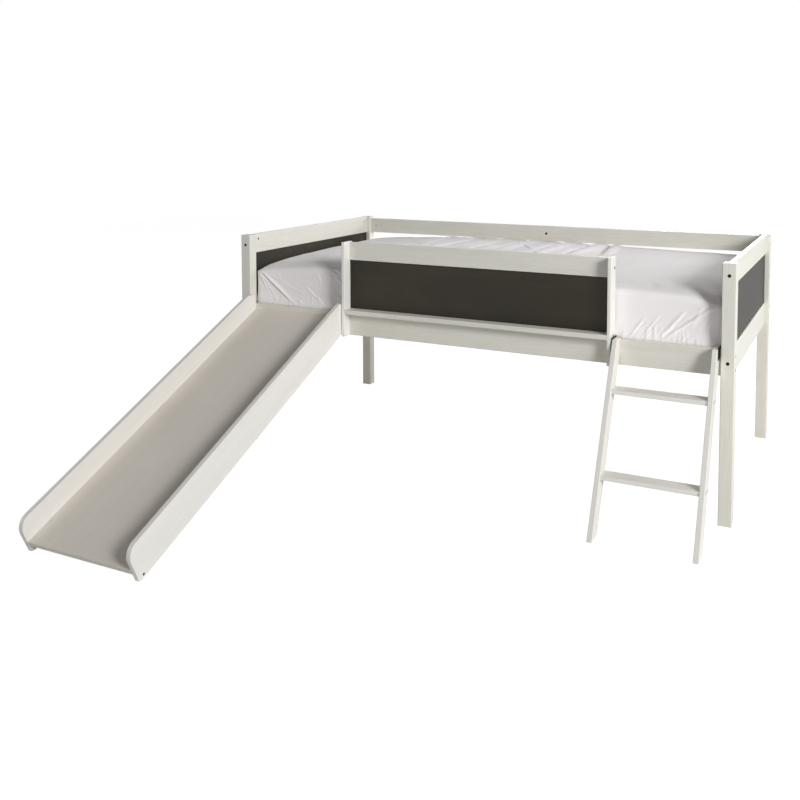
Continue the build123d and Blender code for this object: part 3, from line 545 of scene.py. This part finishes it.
# Gathers that the elastic draws above the hem, along the front, the back and the two ends.
hem_margin, gather_spacing, hem_z = 0.06, 0.021, low[2] + 0.008
for along, sides, heights in ((0, (front_y, back_y), (0.0004, 0.0014)),
                              (1, (left_x, right_x), (0.0006, 0.002))):
    for side in sides:
        for spot in np.arange(low[along] + hem_margin, high[along] - hem_margin, gather_spacing):
            spot = spot + chance.uniform(-0.008, 0.008)
            rise, lean = chance.uniform(0.03, 0.085), chance.uniform(-0.012, 0.012)
            foot, head = ((spot, side), (spot + lean, side)) if along == 0 else (
                (side, spot), (side, spot + lean))
            folds.append(((*foot, hem_z), (*head, low[2] + rise),
                          chance.uniform(*heights), chance.uniform(0.0035, 0.006)))

# Crumples on top, which run to the back: start, run, height and width.
for x, y, run_x, run_y, height, width in (
        (-0.50, 0.66, 0.04, 0.48, 0.008, 0.020), (-0.40, 0.58, 0.09, 0.57, 0.017, 0.022),
        (-0.26, 0.62, 0.12, 0.56, 0.018, 0.024), (-0.08, 0.68, 0.08, 0.52, 0.019, 0.024),
        (0.11, 0.58, 0.05, 0.62, 0.025, 0.026), (0.26, 0.62, 0.04, 0.58, 0.025, 0.026),
        (0.40, 0.68, -0.05, 0.46, 0.012, 0.022), (-0.62, 0.50, 0.10, 0.30, 0.004, 0.018),
        (0.52, 0.30, 0.08, 0.26, 0.002, 0.030), (-0.15, 0.35, 0.16, 0.30, 0.007, 0.020),
        (0.20, 0.28, 0.05, 0.35, 0.006, 0.018), (-0.40, 0.22, -0.06, 0.30, 0.005, 0.016),
        (0.70, 0.55, 0.04, 0.30, 0.002, 0.030), (-0.80, 0.30, 0.07, 0.28, 0.004, 0.016)):
    folds.append(((x, y, top_z), (x + run_x, y + run_y, top_z), height, width))

# Small creases between the crumples.
crease_count = 40
for i in range(crease_count):
    x, y = chance.uniform(-0.85, 0.35), chance.uniform(0.16, 1.04)
    turn, run = chance.uniform(0.6, 2.5), chance.uniform(0.08, 0.26)
    folds.append(((x, y, top_z), (x + run * math.cos(turn), y + run * math.sin(turn), top_z),
                  chance.uniform(0.0012, 0.004), chance.uniform(0.007, 0.015)))

# Wrinkles in the open parts of the front, most of them slanting down to the guard: upper end,
# lower end, height and width.
for x_high, z_high, x_low, z_low, height, width in (
        (0.845, 0.715, 0.765, 0.622, 0.0042, 0.006), (0.703, 0.678, 0.655, 0.612, 0.003, 0.005),
        (0.905, 0.74, 0.865, 0.66, 0.002, 0.006), (0.760, 0.70, 0.700, 0.615, 0.0018, 0.005),
        (-0.596, 0.790, -0.530, 0.752, 0.0040, 0.0045),
        (-0.602, 0.772, -0.542, 0.732, 0.0034, 0.0045),
        (-0.575, 0.742, -0.512, 0.698, 0.0040, 0.005),
        (-0.550, 0.702, -0.506, 0.654, 0.0036, 0.005),
        (-0.560, 0.662, -0.510, 0.612, 0.0034, 0.0045),
        (-0.765, 0.651, -0.719, 0.633, 0.0022, 0.004),
        (-0.700, 0.676, -0.660, 0.642, 0.0022, 0.004),
        (-0.679, 0.617, -0.635, 0.606, 0.0026, 0.004),
        (-0.660, 0.650, -0.620, 0.615, 0.0024, 0.004),
        (-0.620, 0.672, -0.585, 0.630, 0.0022, 0.004),
        (-0.655, 0.745, -0.640, 0.700, 0.0016, 0.005), (-0.86, 0.74, -0.84, 0.70, 0.0014, 0.005)):
    folds.append(((x_high, front_y, z_high), (x_low, front_y, z_low), height, width))

# Puckers just over the side rail, slanting down to the guard.
rail_z = 0.612
for x_from, x_to, z_to, slant, count in ((-0.80, -0.52, 0.71, 1, 44), (0.66, 0.86, 0.67, -1, 16)):
    for i in range(count):
        x, z = chance.uniform(x_from, x_to), chance.uniform(rail_z, z_to)
        turn, run = chance.uniform(0.5, 1.2), chance.uniform(0.018, 0.050)
        folds.append(((x, front_y, z),
                      (x + slant * run * math.cos(turn), front_y, z - run * math.sin(turn)),
                      chance.uniform(0.0006, 0.0016), chance.uniform(0.003, 0.0042)))


def fold_lift(places, normals, folds):
    """How far the folds lift each vertex: a ridge with a shallower valley along one side.

    d is the distance from the fold's line, measured in the surface, and s the part of it that
    lies to one side, both counted in widths. The lift is the height times exp(-d^2), less the
    valley's depth times exp(-((s - offset) / spread)^2 - (d^2 - s^2)), and a low power of a sine
    thins it towards both ends. Vertices farther than 4 widths and 20 mm from a fold are left out.
    """
    valley_depth, valley_offset, valley_spread = 0.45, 1.5, 0.9
    lift = np.zeros(len(places))
    for start, end, height, width in folds:
        start, end = np.array(start), np.array(end)
        run = end - start
        near = np.all((places > np.minimum(start, end) - 4 * width - 0.02)
                      & (places < np.maximum(start, end) + 4 * width + 0.02), axis=1)
        p, n = places[near], normals[near]
        along = (p - start) @ run / (run @ run)
        away = p - start - np.clip(along, 0, 1)[:, None] * run
        away -= (away * n).sum(1)[:, None] * n
        sideways = np.cross(n, run / np.linalg.norm(run))
        s = (away * sideways).sum(1) / width
        d = np.linalg.norm(away, axis=1) / width
        taper = np.sin(np.pi * np.clip(along, 0.02, 0.98)) ** 0.6
        valley = valley_depth * np.exp(-((s - valley_offset) / valley_spread) ** 2
                                       - np.maximum(d ** 2 - s ** 2, 0))
        lift[near] += height * (np.exp(-d ** 2) - valley) * taper
    return lift


# The vertices move along their normals by the folds, by a slow unevenness, which is a product of
# two waves that bend each other, and on top by a bulge before the back guard, shaped as a bell.
# All of it fades out at the underside. x, y and z are views of the places and move with them.
places = vertex_places(pad.data)
normals = vertex_places(pad.data, "normal")
x, y, z = places.T
unevenness = 0.0016
slow = unevenness * (np.sin(x * 9.0 + 2.0 * np.sin(y * 7.0))
                     * np.sin(y * 11.0 + 1.5 * np.sin(x * 5.0)))
bulge_height, bulge_x, bulge_y, bulge_length, bulge_width = 0.014, -0.08, 1.04, 0.45, 0.18
bulge = bulge_height * np.exp(-((x - bulge_x) / bulge_length) ** 2
                              - ((y - bulge_y) / bulge_width) ** 2)
flat_rise, flat_fade = 0.004, 0.02
shown = np.clip((z - low[2] - flat_rise) / flat_fade, 0, 1)
lift = (fold_lift(places, normals, folds) + slow + bulge * np.clip(normals[:, 2], 0, 1)) * shown
places += normals * lift[:, None]

# Room for the sheet. At the front it swells just over the rail, most in the two open parts,
# where no post, hook or guard stands, and it is held within its room there and at the back.
open_parts, part_fade = ((-0.962, -0.505), (0.612, 0.958)), 0.015
open_front = sum(np.clip((x - start) / part_fade, 0, 1) * np.clip((end - x) / part_fade, 0, 1)
                 for start, end in open_parts)
swell_z, swell_height, swell, open_swell = 0.607, 0.030, 0.006, 0.003
front_room, open_room, back_room = 0.0012, 0.0035, 0.003
swollen = np.exp(-((z - swell_z) / swell_height) ** 2) * (normals[:, 1] < -0.5)
y -= (swell + open_swell * open_front) * swollen
y[:] = np.clip(y, front_y - front_room - open_room * open_front, back_y + back_room)

# Its corners are pushed out to the posts, by a bell of the distance from the corner in plan.
corner_push, corner_reach, end_room = 0.008, 0.030, 0.003
from_corner = np.hypot(*(np.abs(places[:, :2] - middle[:2]) - (high - low)[:2] / 2).T)
x += np.sign(x - middle[0]) * (corner_push * np.exp(-(from_corner / corner_reach) ** 2))
x[:] = np.clip(x, left_x - end_room, right_x + end_room)

# The crumples are free up to a first rise over the top. What would stand higher is pressed
# together by an exponential, into a second rise that it never passes.
free_rise, pressed_rise = 0.006, 0.010
over = np.clip(z - top_z - free_rise, 0, None)
z[:] = (np.clip(z, low[2], top_z + free_rise)
        + pressed_rise * (1 - np.exp(-over / pressed_rise)))
pad.data.vertices.foreach_set("co", places.astype(np.float32).ravel())
pad.data.update()
pad.data.shade_smooth()

# Cloth map: the sheet laid flat. Over the sides, the drop under the top is added to the place
# along the side's own direction, so the threads keep their spacing there.
drop = np.clip(top_z - z, 0, None)
facing = np.abs(normals[:, :2])
flat = places[:, :2] + np.sign(places[:, :2] - middle[:2]) * drop[:, None] * (
    facing / np.maximum(facing.sum(1, keepdims=True), 0.3))
threads = pad.data.uv_layers.new(name="threads")
loop_vertices = np.empty(len(pad.data.loops), np.int32)
pad.data.loops.foreach_get("vertex_index", loop_vertices)
threads.data.foreach_set("uv", flat[loop_vertices].astype(np.float32).ravel())

# Cotton percale, woven and washed: a soft matt white with a pinkish cast, hardly any nap, slubs
# of 4 mm, and a plain weave. Real threads are 0.25 mm apart, too fine to show, so they are drawn
# 1.6 mm apart.
percale, tree = new_material("washed_cotton_percale")
cloth_place = add_node(tree, "ShaderNodeTexCoord")
thread_spacing = 0.0016
thread_turn = 2 * math.pi / thread_spacing
spread = add_node(tree, "ShaderNodeMapping", None, {
    "Vector": cloth_place.outputs["UV"], "Scale": (thread_turn, thread_turn, 1.0)})
parts = add_node(tree, "ShaderNodeSeparateXYZ", None, {0: spread.outputs[0]})
warp = add_node(tree, "ShaderNodeMath", {"operation": "SINE"}, {0: parts.outputs[0]})
weft = add_node(tree, "ShaderNodeMath", {"operation": "SINE"}, {0: parts.outputs[1]})
weave = add_node(tree, "ShaderNodeMath", {"operation": "MULTIPLY"},
                 {0: warp.outputs[0], 1: weft.outputs[0]})
soft = add_node(tree, "ShaderNodeTexNoise", None, {
    "Vector": cloth_place.outputs["Object"], "Scale": 6.0, "Detail": 3.0})
slub = add_node(tree, "ShaderNodeTexNoise", None, {
    "Vector": cloth_place.outputs["Object"], "Scale": 260.0, "Detail": 3.0})
tone = add_node(tree, "ShaderNodeMix", {"data_type": "RGBA"}, {
    "Factor": soft.outputs["Fac"], 6: linear("#FFFBFB"), 7: linear("#FAF6F7")})
faint = add_node(tree, "ShaderNodeMapRange", None, {
    "Value": slub.outputs["Fac"], "From Min": 0.4, "From Max": 0.75,
    "To Min": 0.0, "To Max": 0.10})
tone = add_node(tree, "ShaderNodeMix", {"data_type": "RGBA"}, {
    "Factor": faint.outputs[0], 6: tone.outputs[2], 7: linear("#ECE8E9")})
woven = add_node(tree, "ShaderNodeBump", None, {
    "Height": weave.outputs[0], "Strength": 0.10, "Distance": 0.0004})
woven = add_node(tree, "ShaderNodeBump", None, {
    "Height": slub.outputs["Fac"], "Strength": 0.12, "Distance": 0.0006,
    "Normal": woven.outputs[0]})
coat(tree, {"Base Color": tone.outputs[2], "Roughness": 0.88, "Specular IOR Level": 0.25,
            "Sheen Weight": 0.05, "Sheen Roughness": 0.5, "Normal": woven.outputs[0]})
pad.data.materials.append(percale)
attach(pad, "mattress")
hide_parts("mattress")
